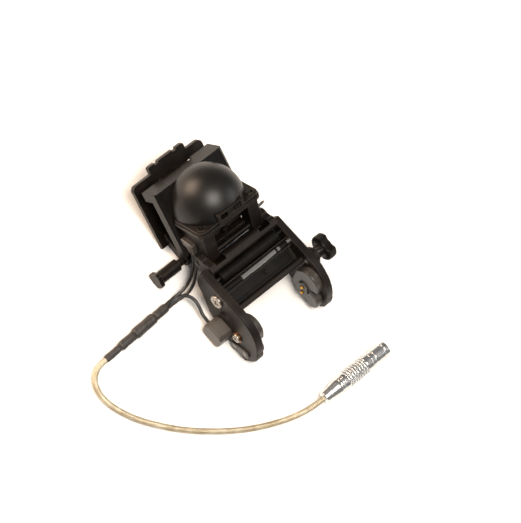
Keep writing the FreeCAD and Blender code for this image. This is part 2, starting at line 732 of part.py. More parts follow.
# ---- wire boot and bail on the bracket ----------------------------------------------------------------------
def wire_boot():
    outline = [(-1.2, -10.8), (6.2, -12.0), ((7.4, -12.6), (7.8, -14.0)), (7.4, -18.6), (3.0, -18.6),
               (2.4, -15.4), (-1.6, -14.2)]
    boot = prism(outline, (-post_outer - 3.0, -post_outer))
    boot = boot.makeFillet(0.7, at_x(boot, -post_outer - 3.0))
    return boot.cut(to_frame(behind_front(), housing, flange))


def wire_bail():
    """A small loop of wire that stands out of the bracket's right side."""
    foot_low, foot_high = (11.4, -15.0), (15.2, -10.8)
    x_foot, x_out = post_outer, post_outer + 5.2
    start = vec(x_foot, *foot_low)
    end = vec(x_foot, *foot_high)
    bend_low = vec(x_out - 2.2, *foot_low)
    bend_high = vec(x_out - 2.2, *foot_high)
    crest = vec(x_out, (foot_low[0] + foot_high[0]) / 2, (foot_low[1] + foot_high[1]) / 2)
    path = Part.Wire([Part.LineSegment(start, bend_low).toShape(), Part.Arc(bend_low, crest, bend_high).toShape(),
                      Part.LineSegment(bend_high, end).toShape()])
    section = Part.Wire(Part.makeCircle(0.65, start, x_axis))
    bail = path.makePipeShell([section], True, True)
    return bail.cut(block((0, post_outer), (-30, 30), (-40, 0)))


keep("wire_boot", flange, wire_boot())
keep("wire_bail", flange, wire_bail())


# ---- free cords: their routes lie on the table, in the table's own axes -------------------------------------
def tube(points, diameter, name):
    """A round tube along straight runs joined by tangent arcs, each as large as its two runs allow."""
    corners = [FreeCAD.Vector(*p) for p in points]
    edges, here, length, radii = [], corners[0], 0.0, []
    for before, corner, after in zip(corners, corners[1:], corners[2:]):
        back, ahead = (before - corner), (after - corner)
        shorter = min(back.Length, ahead.Length)
        turn = math.pi - back.getAngle(ahead)
        trim = 0.45 * shorter
        radii.append(trim / math.tan(turn / 2))
        enter = corner + back.normalize() * trim
        leave = corner + ahead.normalize() * trim
        inward = (back + ahead).normalize()
        middle = corner + inward * (radii[-1] / math.cos(turn / 2) - radii[-1])
        edges += [Part.LineSegment(here, enter), Part.Arc(enter, middle, leave)]
        here = leave
    edges.append(Part.LineSegment(here, corners[-1]))
    wire = Part.Wire([edge.toShape() for edge in edges])
    section = Part.Wire(Part.makeCircle(diameter / 2, corners[0], corners[1] - corners[0]))
    solid = wire.makePipeShell([section], True, True)
    fullness = solid.Volume / (math.pi * diameter ** 2 / 4 * wire.Length)
    print(name, "length", round(wire.Length, 1), "fullness", round(fullness, 4),
          "least radius", round(min(radii), 1), "radii", [round(r, 1) for r in radii])
    return solid


back = dome_back
wire_back_route = [
    (-20.7, back - 15.566, 20.988), (-20.7, back - 18.778, 17.421), (-22.4, back - 21.8, 12.8),
    (-25.2, back - 25.2, 8.2), (-30.4, back - 27.5, 4.6), (-38.06, back - 27.48, 2.6), (-44.053, back - 27.8, 2.6)]
wire_front_route = [
    (-20.7, back - 17.052, 22.326), (-20.7, back - 20.531, 18.462), (-22.2, back - 24.3, 12.8),
    (-25.2, back - 28.3, 8.2), (-30.6, back - 30.5, 4.3), (-37.955, back - 29.48, 2.6), (-43.947, back - 29.8, 2.6)]
sensor_route = [
    (-44.0, back - 28.8, 4.35), (-38.8, back - 28.523, 4.35), (-33.6, back - 29.5, 6.4), (-30.8, back - 34.1, 7.4),
    (-31.0, back - 39.6, 6.7), (sensor_exit, back - 44.2, 5.19),
    (sensor_exit, back - 49.16, 5.8)]
lead_route = [
    (-89.0, back - 31.2, 3.2), (-94.2, back - 31.477, 3.2), (-98.8, back - 34.0, 2.7), (-102.0, back - 38.4, 2.1),
    (-103.2, back - 45.3, 1.8), (-101.4, back - 53.6, 1.8), (-96.8, back - 63.6, 1.8), (-88.8, back - 74.6, 1.8),
    (-78.8, back - 85.4, 1.8), (-66.2, back - 95.8, 1.8), (-51.0, back - 105.8, 1.8), (-34.6, back - 113.2, 2.0),
    (-19.6, back - 117.8, 4.75), (-9.0, back - 117.8, 4.75)]

keep("wire_back", table, tube(wire_back_route, wire_diameter, "wire_back"))
keep("wire_front", table, tube(wire_front_route, wire_diameter, "wire_front"))
keep("sensor_wire", table, tube(sensor_route, wire_diameter, "sensor_wire"))
keep("braided_lead", table, tube(lead_route, lead_diameter, "braided_lead"))

sleeve_start = FreeCAD.Vector(-44.0, back - 28.8, sleeve_height)
sleeve_end = FreeCAD.Vector(*lead_route[0])
sleeve_way = (sleeve_end - sleeve_start).normalize()
sleeve_length = (sleeve_end - sleeve_start).Length
sleeve_steps = [("splice_mouth", 0.0, 0.2, 2.6), ("splice_body", 0.2, 0.53, 3.1),
                ("splice_waist", 0.53, 0.76, 2.6), ("splice_tail", 0.76, 1.0, 2.1)]
for name, first, last, radius in sleeve_steps:
    foot = sleeve_start + sleeve_way * (first * sleeve_length)
    sleeve = Part.makeCylinder(radius, (last - first) * sleeve_length, foot, sleeve_way)
    keep(name, table, sleeve.makeChamfer(0.3, [e for e in sleeve.Edges if e.Length > 3 * radius and e.Closed]))


# ---- circular plug ------------------------------------------------------------------------------------------
plug_start = lead_route[-1][0]
plug_y = lead_route[-1][1]
collet_length = 14.0
grip_length = 20.0
nose_length = 12.2
grip_start = plug_start + collet_length
nose_start = grip_start + grip_length
plug_end = nose_start + nose_length


def plug_turn(radius, x):
    return Part.makeCylinder(radius, x[1] - x[0], FreeCAD.Vector(x[0], plug_y, plug_radius), x_axis)


def collet_nut():
    foot = FreeCAD.Vector(plug_start, plug_y, plug_radius)
    cone = Part.makeCone(3.3, plug_radius - 0.15, collet_length - 4.0, foot, x_axis)
    nut = cone.fuse(plug_turn(plug_radius - 0.15, (plug_start + collet_length - 4.0, grip_start)))
    flat = Part.makeBox(4.6, 20, 20, FreeCAD.Vector(plug_start + 2.0, plug_y + 3.4, -5))
    other = Part.makeBox(4.6, 20, 20, FreeCAD.Vector(plug_start + 2.0, plug_y - 23.4, -5))
    return nut.cut([flat, other]).removeSplitter()


def grip_sleeve():
    sleeve = plug_turn(plug_radius, (grip_start, nose_start))
    for i in range(8):
        x = grip_start + 2.4 + i * 1.7
        ring = plug_turn(plug_radius + 1, (x, x + 0.5)).cut(plug_turn(plug_radius - 0.25, (x, x + 0.5)))
        sleeve = sleeve.cut(ring)
    return sleeve


def nose_shell():
    shell = plug_turn(plug_radius - 0.2, (nose_start, plug_end))
    shell = shell.makeChamfer(0.35, at_x(shell, plug_end))
    return shell.cut(plug_turn(plug_radius - 0.9, (nose_start, plug_end + 1)))


def plug_pin(turn):
    y = plug_y + 1.9 * math.cos(turn)
    z = plug_radius + 1.9 * math.sin(turn)
    return Part.makeCylinder(0.35, 4.0, FreeCAD.Vector(nose_start + 6.5, y, z), x_axis)


keep("plug_nut", table, collet_nut())
keep("plug_grip", table, grip_sleeve())
keep("plug_nose", table, nose_shell())
keep("plug_insert", table, plug_turn(plug_radius - 0.95, (nose_start + 0.02, nose_start + 6.5)))
keep("plug_pins", table, [plug_pin(2 * math.pi * i / 5) for i in range(5)])


# ---- write the nodes ----------------------------------------------------------------------------------------
cord_nodes = ["wire_back", "wire_front", "sensor_wire", "braided_lead", "plug_nut", "plug_grip", "plug_nose",
              "plug_insert", "plug_pins"] + [step[0] for step in sleeve_steps]
os.makedirs("parts", exist_ok=True)
for name, shape in parts.items():
    shape.exportStep("parts/" + name + ".step")
whole = Part.makeCompound([shape for name, shape in parts.items() if name not in cord_nodes]).BoundBox
print(len(parts), "nodes; object without its cords", whole)
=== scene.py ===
import logging
import math
from dataclasses import dataclass
from enum import Enum
from typing import Callable

import bmesh
import bpy
import numpy as np
from mathutils import Matrix, Vector


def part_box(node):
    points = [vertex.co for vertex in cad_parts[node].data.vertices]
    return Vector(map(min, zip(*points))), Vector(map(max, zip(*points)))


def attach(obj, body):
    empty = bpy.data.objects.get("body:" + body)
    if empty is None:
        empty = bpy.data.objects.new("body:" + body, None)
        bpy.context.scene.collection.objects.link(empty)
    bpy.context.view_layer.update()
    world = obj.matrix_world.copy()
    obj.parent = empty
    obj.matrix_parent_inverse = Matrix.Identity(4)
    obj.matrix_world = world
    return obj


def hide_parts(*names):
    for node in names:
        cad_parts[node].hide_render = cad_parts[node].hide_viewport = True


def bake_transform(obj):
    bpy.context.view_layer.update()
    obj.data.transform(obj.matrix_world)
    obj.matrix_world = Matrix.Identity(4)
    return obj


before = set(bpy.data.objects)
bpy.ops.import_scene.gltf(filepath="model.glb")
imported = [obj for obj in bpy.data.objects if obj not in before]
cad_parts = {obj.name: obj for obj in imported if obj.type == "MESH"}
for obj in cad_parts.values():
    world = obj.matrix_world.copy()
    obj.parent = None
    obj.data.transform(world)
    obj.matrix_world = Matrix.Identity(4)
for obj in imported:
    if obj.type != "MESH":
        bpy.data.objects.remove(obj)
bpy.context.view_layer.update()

LOG = logging.getLogger("tilting_camera_mount")
MM = 0.001                       # metres in a millimetre
TURN = 2 * math.pi
DOME_CENTRE = Vector((0.0, 23.532, 32.0)) * MM
Profile = Callable[[np.ndarray, np.ndarray], np.ndarray]
Inputs = dict[str | int, object]


# ---- finishes -----------------------------------------------------------------------------------------
def linear(colour: str) -> tuple[float, float, float, float]:
    """Turn an sRGB hex colour into a linear one.

    Args:
        colour: "#rrggbb".

    Returns:
        Red, green, blue and alpha, each from 0 to 1.
    """
    steps = np.array([int(colour[i:i + 2], 16) / 255 for i in (1, 3, 5)])
    curve = np.where(steps <= 0.04045, steps / 12.92, ((steps + 0.055) / 1.055) ** 2.4)
    return (*curve.tolist(), 1.0)


def add(tree: bpy.types.NodeTree, kind: str, inputs: Inputs, output: str | int = 0,
        **settings: object) -> bpy.types.NodeSocket | None:
    """Add one shader node with its settings, its inputs and their links.

    Args:
        tree: the node tree that gets the node.
        kind: the node's type, without "ShaderNode".
        inputs: a constant or another node's output for each input, by name or number.
        output: the output that the caller goes on with.
        settings: the node's own properties.

    Returns:
        The chosen output socket, or None for a node that has none.
    """
    node = tree.nodes.new("ShaderNode" + kind)
    for name, value in settings.items():
        setattr(node, name, value)
    for socket, value in inputs.items():
        if isinstance(value, bpy.types.NodeSocket):
            tree.links.new(value, node.inputs[socket])
        else:
            node.inputs[socket].default_value = value
    return node.outputs[output] if len(node.outputs) else None


def per_metre(size_mm: float) -> float:
    """The scale of a pattern whose features are size_mm across, on coordinates in metres."""
    return 1 / (size_mm * MM)


class Lay(Enum):
    """The way that the tool marks of a metal surface run."""

    NONE = (1.0, 1.0, 1.0)
    ROUND_X = (1.0, 0.04, 0.04)      # turned about X: rings, fine along X only
    ALONG_X = (0.04, 1.0, 1.0)       # drawn or ground along X


@dataclass(frozen=True)
class Finish:
    """A surface with a slow change of tone, a fine grain and edges that handling has rubbed.

    The tone is a noise some millimetres across, the grain a finer one that also moves the roughness, and the
    rubbed edge is where a normal rounded over edge_mm differs from the face's own.
    """

    name: str
    colour: str
    tone: str                        # the colour that the slow change goes towards
    roughness: float
    metallic: float = 0.0
    tone_mm: float = 7.0
    grain_mm: float = 0.35
    grain_height_mm: float = 0.012
    uneven: float = 0.08             # how far the grain moves the roughness
    edge: str | None = None          # the colour of a rubbed edge
    edge_mm: float = 0.3
    edge_share: float = 0.5
    specular: float = 0.5
    lay: Lay = Lay.NONE

    def colour_of(self, tree: bpy.types.NodeTree, place: bpy.types.NodeSocket) -> bpy.types.NodeSocket:
        """The colour output before any wear: the two tones mixed by the slow noise."""
        slow = add(tree, "TexNoise", {"Vector": place, "Scale": per_metre(self.tone_mm), "Detail": 3.0})
        share = add(tree, "MapRange", {0: slow, 1: 0.35, 2: 0.68})
        return add(tree, "Mix", {0: share, 6: linear(self.colour), 7: linear(self.tone)}, 2,
                   data_type="RGBA")

    def grain_of(self, tree: bpy.types.NodeTree, place: bpy.types.NodeSocket) -> bpy.types.NodeSocket:
        """The grain's height from 0 to 1, drawn out along the lay of the tool marks."""
        drawn = add(tree, "Mapping", {"Vector": place, "Scale": self.lay.value})
        return add(tree, "TexNoise", {"Vector": drawn, "Scale": per_metre(self.grain_mm), "Detail": 4.0,
                                      "Roughness": 0.6})

    def rounded_normal(self, tree: bpy.types.NodeTree) -> bpy.types.NodeSocket:
        """The normal with sharp edges rounded over edge_mm, as a deburred or moulded edge is."""
        return add(tree, "Bevel", {"Radius": self.edge_mm * MM}, samples=4)

    def worn(self, tree: bpy.types.NodeTree, colour: bpy.types.NodeSocket, rounded: bpy.types.NodeSocket,
             grain: bpy.types.NodeSocket) -> bpy.types.NodeSocket:
        """The colour with its rubbed edges, broken up by the grain."""
        if self.edge is None:
            return colour
        flat = add(tree, "NewGeometry", {}, "Normal")
        same = add(tree, "VectorMath", {0: rounded, 1: flat}, "Value", operation="DOT_PRODUCT")
        rim = add(tree, "MapRange", {0: same, 1: 0.985, 2: 0.86, 3: 0.0, 4: self.edge_share})
        broken = add(tree, "MapRange", {0: grain, 1: 0.38, 2: 0.58})
        share = add(tree, "Math", {0: rim, 1: broken}, operation="MULTIPLY")
        return add(tree, "Mix", {0: share, 6: colour, 7: linear(self.edge)}, 2, data_type="RGBA")

    def material(self) -> bpy.types.Material:
        """Make the finish, or return it if it is made already."""
        made = bpy.data.materials.get(self.name)
        if made:
            return made
        made = bpy.data.materials.new(self.name)
        made.use_nodes = True
        tree = made.node_tree
        tree.nodes.clear()
        place = add(tree, "TexCoord", {}, "Object")
        grain = self.grain_of(tree, place)
        rounded = self.rounded_normal(tree)
        colour = self.worn(tree, self.colour_of(tree, place), rounded, grain)
        rough = add(tree, "MapRange", {0: grain, 1: 0.3, 2: 0.7, 3: self.roughness - self.uneven,
                                       4: self.roughness + self.uneven})
        bump = add(tree, "Bump", {"Height": grain, "Strength": 1.0, "Distance": self.grain_height_mm * MM,
                                  "Normal": rounded})
        shader = add(tree, "BsdfPrincipled",
                     {"Base Color": colour, "Roughness": rough, "Metallic": self.metallic,
                      "Specular IOR Level": self.specular, "Normal": bump})
        add(tree, "OutputMaterial", {"Surface": shader})
        return made


@dataclass(frozen=True)
class Moulded(Finish):
    """Plastic from a spark-eroded mould: an even stipple of small pits with shining shoulders."""

    def grain_of(self, tree: bpy.types.NodeTree, place: bpy.types.NodeSocket) -> bpy.types.NodeSocket:
        """The stipple: smooth cells of the grain's size, with a little noise."""
        cells = add(tree, "TexVoronoi",
                    {"Vector": place, "Scale": per_metre(self.grain_mm), "Smoothness": 0.6},
                    "Distance", feature="SMOOTH_F1")
        noise = add(tree, "TexNoise",
                    {"Vector": place, "Scale": per_metre(self.grain_mm * 2.5), "Detail": 2.0})
        return add(tree, "Math", {0: cells, 1: noise, 2: 0.0}, operation="MULTIPLY_ADD")


@dataclass(frozen=True)
class Sleeve(Finish):
    """Heat-shrunk tube: dull, with fine wrinkles where it has drawn down. It reads the piece's UV map."""

    wrinkle_mm: float = 1.1

    def grain_of(self, tree: bpy.types.NodeTree, place: bpy.types.NodeSocket) -> bpy.types.NodeSocket:
        """Wrinkles much longer round the tube than along it; the map's second coordinate is metres along."""
        uv = add(tree, "UVMap", {}, uv_map="along")
        drawn = add(tree, "Mapping", {"Vector": uv, "Scale": (1.6, per_metre(self.wrinkle_mm), 1.0)})
        return add(tree, "TexNoise", {"Vector": drawn, "Scale": 1.0, "Detail": 4.0, "Roughness": 0.55})


@dataclass(frozen=True)
class Braid(Finish):
    """Tinned copper braid: bundles of fine wire that cross over and under. It reads the piece's UV map."""

    carriers: int = 8
    pitch_mm: float = 11.0
    wires: int = 5                   # wires in a bundle, drawn coarser than real so that they show
    # The gap colour is painted shade: the shaded crevices between the fine wires.
    gap: str = "#3d3226"

    def grain_of(self, tree: bpy.types.NodeTree, place: bpy.types.NodeSocket) -> bpy.types.NodeSocket:
        """Fine wires that run along whichever bundle is on top.

        Both bundle counts are carriers x (turn about the lead +- metres along / pitch). Their whole parts
        add up to an even or an odd number, which says which one is on top.
        """
        uv = add(tree, "UVMap", {}, uv_map="along")
        turn, length = (add(tree, "SeparateXYZ", {0: uv}, axis) for axis in ("X", "Y"))
        climb = add(tree, "Math", {0: length, 1: self.carriers * per_metre(self.pitch_mm)},
                    operation="MULTIPLY")
        rising = add(tree, "Math", {0: turn, 1: float(self.carriers), 2: climb}, operation="MULTIPLY_ADD")
        back = add(tree, "Math", {0: climb, 1: -1.0}, operation="MULTIPLY")
        falling = add(tree, "Math", {0: turn, 1: float(self.carriers), 2: back}, operation="MULTIPLY_ADD")
        whole = [add(tree, "Math", {0: count}, operation="FLOOR") for count in (rising, falling)]
        both = add(tree, "Math", {0: whole[0], 1: whole[1]}, operation="ADD")
        top = add(tree, "Math", {0: both, 1: 2.0}, operation="FLOORED_MODULO")
        across = add(tree, "Mix", {0: top, 2: falling, 3: rising}, data_type="FLOAT")
        wire = add(tree, "Math", {0: across, 1: math.pi * self.wires}, operation="MULTIPLY")
        ridge = add(tree, "Math", {0: wire}, operation="SINE")
        return add(tree, "Math", {0: ridge}, operation="ABSOLUTE")

    def worn(self, tree: bpy.types.NodeTree, colour: bpy.types.NodeSocket, rounded: bpy.types.NodeSocket,
             grain: bpy.types.NodeSocket) -> bpy.types.NodeSocket:
        """The bundles' colour, with painted shade in the gaps between the fine wires."""
        # Painted shade: the fine wires' gaps are mixed towards the gap colour.
        share = add(tree, "MapRange", {0: grain, 1: 0.0, 2: 0.35, 3: 0.6, 4: 0.0})
        return add(tree, "Mix", {0: share, 6: colour, 7: linear(self.gap)}, 2, data_type="RGBA")


# Bead-blasted and anodised aluminium: dull black with a warm sheen, and grey where an edge is rubbed.
ANODISED = Finish("anodised_aluminium", "#110e0c", "#1e1814", 0.42, metallic=0.3, specular=0.25, tone_mm=9,
                  grain_mm=0.3, grain_height_mm=0.012, edge="#8a8178", edge_mm=0.28, edge_share=0.55)
# The plate, its rail and the release bar are handled more, so their edges are rubbed brighter and wider.
RUBBED_ANODISED = Finish("rubbed_anodised_aluminium", "#110e0c", "#1e1814", 0.4, metallic=0.3, specular=0.25,
                         tone_mm=6, grain_mm=0.3, edge="#a3988b", edge_mm=0.35, edge_share=0.8)
# Glass-filled nylon: black, with the even stipple of its mould.
NYLON = Moulded("moulded_black_nylon", "#0b0a09", "#13110f", 0.42, specular=0.14, grain_mm=0.5,
                grain_height_mm=0.016, edge="#4a443e", edge_mm=0.3, edge_share=0.35)
# The dome's mould was polished finer, so it shines more and its stipple is small.
DOME_NYLON = Moulded("satin_black_nylon", "#0b0a09", "#110f0d", 0.44, specular=0.34, grain_mm=0.35,
                     grain_height_mm=0.005, uneven=0.05, edge="#4a443e", edge_share=0.3)
# Acetal slides well: an even mid grey with a waxy shine.
ACETAL = Moulded("moulded_grey_acetal", "#2f2c29", "#3c3834", 0.38, grain_mm=0.6, grain_height_mm=0.01,
                 edge="#7d766e", edge_share=0.4)
GREY_NYLON = Moulded("moulded_grey_nylon", "#3c3834", "#48433e", 0.5, grain_mm=0.5, grain_height_mm=0.018,
                     edge="#8c857b", edge_share=0.45)
# Zinc plate on steel: bright grey, with turning marks and a slight warm cast.
ZINC = Finish("zinc_plated_steel", "#a9a39a", "#8b847a", 0.3, metallic=1.0, tone_mm=2.5, grain_mm=0.12,
              grain_height_mm=0.003, edge="#e2ddd4", edge_mm=0.12, edge_share=0.6, lay=Lay.ROUND_X)
BLACK_STEEL = Finish("blackened_steel", "#2b2825", "#3b3732", 0.32, metallic=0.9, tone_mm=2, grain_mm=0.15,
                     grain_height_mm=0.003, edge="#9a938a", edge_mm=0.12, edge_share=0.6, lay=Lay.ROUND_X)
# Ground and polished rod: a dark mirror, with hairlines round it.
POLISHED = Finish("polished_steel", "#3a342d", "#2c2721", 0.1, metallic=1.0, tone_mm=3, grain_mm=0.1,
                  grain_height_mm=0.0015, uneven=0.05, lay=Lay.ROUND_X)
BRONZE = Finish("phosphor_bronze", "#8a6440", "#6b4b30", 0.33, metallic=1.0, tone_mm=1.5, grain_mm=0.12,
                grain_height_mm=0.003, edge="#c79a68", edge_mm=0.1, lay=Lay.ROUND_X)
GOLD = Finish("gold_plated_brass", "#dba544", "#c08a34", 0.2, metallic=1.0, tone_mm=1, grain_mm=0.1,
              grain_height_mm=0.001, uneven=0.04)
# Satin chrome on turned brass: near white, with fine turning rings.
CHROME = Finish("satin_chrome_on_brass", "#e4e4e2", "#d2d2d0", 0.24, metallic=1.0, tone_mm=4, grain_mm=0.12,
                grain_height_mm=0.0025, uneven=0.05, edge="#ffffff", edge_mm=0.12, edge_share=0.5,
                lay=Lay.ROUND_X)
INSULATOR = Moulded("moulded_peek", "#262320", "#302c28", 0.4, grain_mm=0.3, grain_height_mm=0.004)
# Silicone wire jacket: black, smooth and slightly greasy.
JACKET = Finish("black_silicone_jacket", "#0f0e0d", "#181614", 0.33, tone_mm=3, grain_mm=0.4,
                grain_height_mm=0.004, uneven=0.1)
SHRINK = Sleeve("heat_shrunk_polyolefin", "#262321", "#322e2b", 0.55, tone_mm=4, grain_height_mm=0.06,
                uneven=0.06)
TINNED = Braid("tinned_copper_braid", "#c9bfa8", "#a8997c", 0.34, metallic=0.75, tone_mm=5,
               grain_height_mm=0.03)
SPRING_WIRE = Finish("drawn_spring_steel", "#9a958d", "#7e786f", 0.25, metallic=1.0, tone_mm=2, grain_mm=0.1,
                     grain_height_mm=0.002, lay=Lay.ALONG_X)

NODE_FINISH: dict[Finish, tuple[str, ...]] = {
    RUBBED_ANODISED: ("rear_plate", "slide_rail", "release_bar", "release_cap"),
    ANODISED: ("bracket", "bezel_plate", "latch_frame", "fork_deck", "left_ear", "right_ear"),
    NYLON: ("housing_shell", "back_cover", "latch_slider", "slot_roller", "inner_panel", "panel_boss"),
    DOME_NYLON: ("dome_cover",),
    ACETAL: ("left_guide", "right_guide", "oval_cover", "wire_boot"),
    GREY_NYLON: ("sensor_block",),
    ZINC: ("ear_screws", "lock_screws", "oval_screws", "knob_stem", "left_plunger", "right_plunger"),
    BLACK_STEEL: ("bezel_screws", "rail_screws", "housing_screws", "guide_rod", "roller_axle", "knob_washer",
                  "hinge_pin"),
    POLISHED: ("steel_rod",),
    BRONZE: ("lock_rings",),
    GOLD: ("contact_pins", "plug_pins"),
    INSULATOR: ("contact_block", "plug_insert"),
    SPRING_WIRE: ("wire_bail",),
}


def dress_nodes() -> None:
    """Give every node of the frame that shows its finish."""
    for finish, names in NODE_FINISH.items():
        for name in names:
            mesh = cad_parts[name].data
            mesh.materials.clear()
            mesh.materials.append(finish.material())
        LOG.info("finish %s on %s", finish.name, ", ".join(names))


# ---- surfaces -----------------------------------------------------------------------------------------
def surface(name: str, rings: np.ndarray, finish: Finish, along: np.ndarray) -> bpy.types.Object:
    """Make a closed piece from rings of points, with a fan over each end.

    Args:
        name: the piece's name.
        rings: points in metres, as (ring, point round the ring, xyz).
        finish: the piece's finish.
        along: how far along the piece each ring is, in metres, for its UV map.

    Returns:
        The piece, at the origin and unturned.
    """
    count, around = rings.shape[:2]
    here = np.arange(count * around).reshape(count, around)
    ahead = np.roll(here, -1, axis=1)
    walls = np.stack([here[:-1], ahead[:-1], ahead[1:], here[1:]], axis=-1).reshape(-1, 4)
    centres = rings[[0, -1]].mean(axis=1)
    points = np.concatenate([rings.reshape(-1, 3), centres])
    first = np.stack([ahead[0], here[0], np.full(around, count * around)], axis=-1)
    last = np.stack([here[-1], ahead[-1], np.full(around, count * around + 1)], axis=-1)
    mesh = bpy.data.meshes.new(name)
    mesh.from_pydata(points.tolist(), [], walls.tolist() + first.tolist() + last.tolist())
    turn, length = np.meshgrid(np.arange(around + 1) / around, along)
    corner_u = np.stack([turn[:-1, :-1], turn[:-1, 1:], turn[1:, 1:], turn[1:, :-1]], axis=-1)
    corner_v = np.stack([length[:-1, :-1], length[:-1, 1:], length[1:, 1:], length[1:, :-1]], axis=-1)
    fan = np.zeros(6 * around)
    uv = np.stack([np.concatenate([corner.reshape(-1), fan]) for corner in (corner_u, corner_v)], axis=-1)
    mesh.uv_layers.new(name="along").data.foreach_set("uv", uv.ravel())
    mesh.polygons.foreach_set("use_smooth", np.ones(len(mesh.polygons), bool))
    mesh.materials.append(finish.material())
    whole = bmesh.new()
    whole.from_mesh(mesh)
    bmesh.ops.recalc_face_normals(whole, faces=whole.faces)
    whole.to_mesh(mesh)
    whole.free()
    piece = bpy.data.objects.new(name, mesh)
    bpy.context.scene.collection.objects.link(piece)
    return piece


def carried(path: np.ndarray, around: int, radius: Profile, up: tuple[float, float, float] = (0.0, 0.0, 1.0)
            ) -> tuple[np.ndarray, np.ndarray]:
    """Carry a ring along a path.

    A ring's point is the path's point plus radius x (cosine of the turn x side + sine of the turn x top).
    Side is square to the path's direction and to up, and top is square to both.

    Args:
        path: points in metres, as (point, xyz).
        around: points round a ring.
        radius: the radius in metres, from arrays of turn (0 to 1) and metres along.
        up: a direction that the path never runs in.

    Returns:
        The rings, and how far along each is.
    """
    heading = np.gradient(path, axis=0)
    heading /= np.linalg.norm(heading, axis=1, keepdims=True)
    side = np.cross(heading, np.array(up))
    side /= np.linalg.norm(side, axis=1, keepdims=True)
    top = np.cross(side, heading)
    steps = np.linalg.norm(np.diff(path, axis=0), axis=1)
    along = np.concatenate([[0.0], np.cumsum(steps)])
    turn, length = np.meshgrid(np.arange(around) / around, along)
    reach = radius(turn, length)[..., None]
    round_it = np.cos(TURN * turn)[..., None] * side[:, None] + np.sin(TURN * turn)[..., None] * top[:, None]
    return path[:, None] + reach * round_it, along


def resampled(path: np.ndarray, step: float) -> np.ndarray:
    """Points the same distance apart, about step metres, on a line through the given points."""
    steps = np.linalg.norm(np.diff(path, axis=0), axis=1)
    along = np.concatenate([[0.0], np.cumsum(steps)])
    wanted = np.linspace(0.0, along[-1], max(3, round(along[-1] / step) + 1))
    return np.stack([np.interp(wanted, along, path[:, axis]) for axis in range(3)], axis=-1)


def smooth_line(name: str, route: np.ndarray) -> np.ndarray:
    """The points of the NURBS line of order 3 that has the route's points as its control points.

    Args:
        name: what the line is called while it is made.
        route: control points in metres.

    Returns:
        Points along the line, close together.
    """
    curve = bpy.data.curves.new(name, "CURVE")
    curve.dimensions = "3D"
    line = curve.splines.new("NURBS")
    line.points.add(len(route) - 1)
    line.points.foreach_set("co", np.column_stack([route, np.ones(len(route))]).ravel())
    line.order_u = 3
    line.use_endpoint_u = True
    line.resolution_u = 32
    holder = bpy.data.objects.new(name, curve)
    mesh = bpy.data.meshes.new_from_object(holder)
    points = np.zeros(len(mesh.vertices) * 3)
    mesh.vertices.foreach_get("co", points)
    bpy.data.objects.remove(holder)
    bpy.data.curves.remove(curve)
    bpy.data.meshes.remove(mesh)
    return points.reshape(-1, 3)


def soft_step(value: np.ndarray, low: float, high: float) -> np.ndarray:
    """0 below low, 1 above high, and 3t^2 - 2t^3 between them."""
    t = np.clip((value - low) / (high - low), 0.0, 1.0)
    return t * t * (3 - 2 * t)


# ---- the cords and the plug ---------------------------------------------------------------------------
class Route(Enum):
    """The routes of the free wires and the lead, from end to end.

    In millimetres, as X, Y ahead of or behind the dome's centre, and height above the floor.
    """

    WIRE_BACK = [(-20.7, -15.566, 20.988), (-20.7, -18.778, 17.421), (-22.4, -21.8, 12.8),
                 (-25.2, -25.2, 8.2), (-30.4, -27.5, 4.6), (-38.06, -27.48, 2.6), (-44.053, -27.8, 2.6)]
    WIRE_FRONT = [(-20.7, -17.052, 22.326), (-20.7, -20.531, 18.462), (-22.2, -24.3, 12.8),
                  (-25.2, -28.3, 8.2), (-30.6, -30.5, 4.3), (-37.955, -29.48, 2.6), (-43.947, -29.8, 2.6)]
    SENSOR = [(-44.0, -28.8, 4.35), (-38.8, -28.523, 4.35), (-33.6, -29.5, 6.4), (-30.8, -34.1, 7.4),
              (-31.0, -39.6, 6.7), (-32.2, -44.2, 5.19), (-32.2, -49.16, 5.8)]
    LEAD = [(-89.0, -31.2, 3.2), (-94.2, -31.477, 3.2), (-98.8, -34.0, 2.7), (-102.0, -38.4, 2.1),
            (-103.2, -45.3, 1.8), (-101.4, -53.6, 1.8), (-96.8, -63.6, 1.8), (-88.8, -74.6, 1.8),
            (-78.8, -85.4, 1.8), (-66.2, -95.8, 1.8), (-51.0, -105.8, 1.8), (-34.6, -113.2, 2.0),
            (-19.6, -117.8, 4.75), (-9.0, -117.8, 4.75)]

    def metres(self) -> np.ndarray:
        """The route's points in metres, in the frame."""
        return np.array(self.value) * MM + np.array([0.0, DOME_CENTRE.y, 0.0])


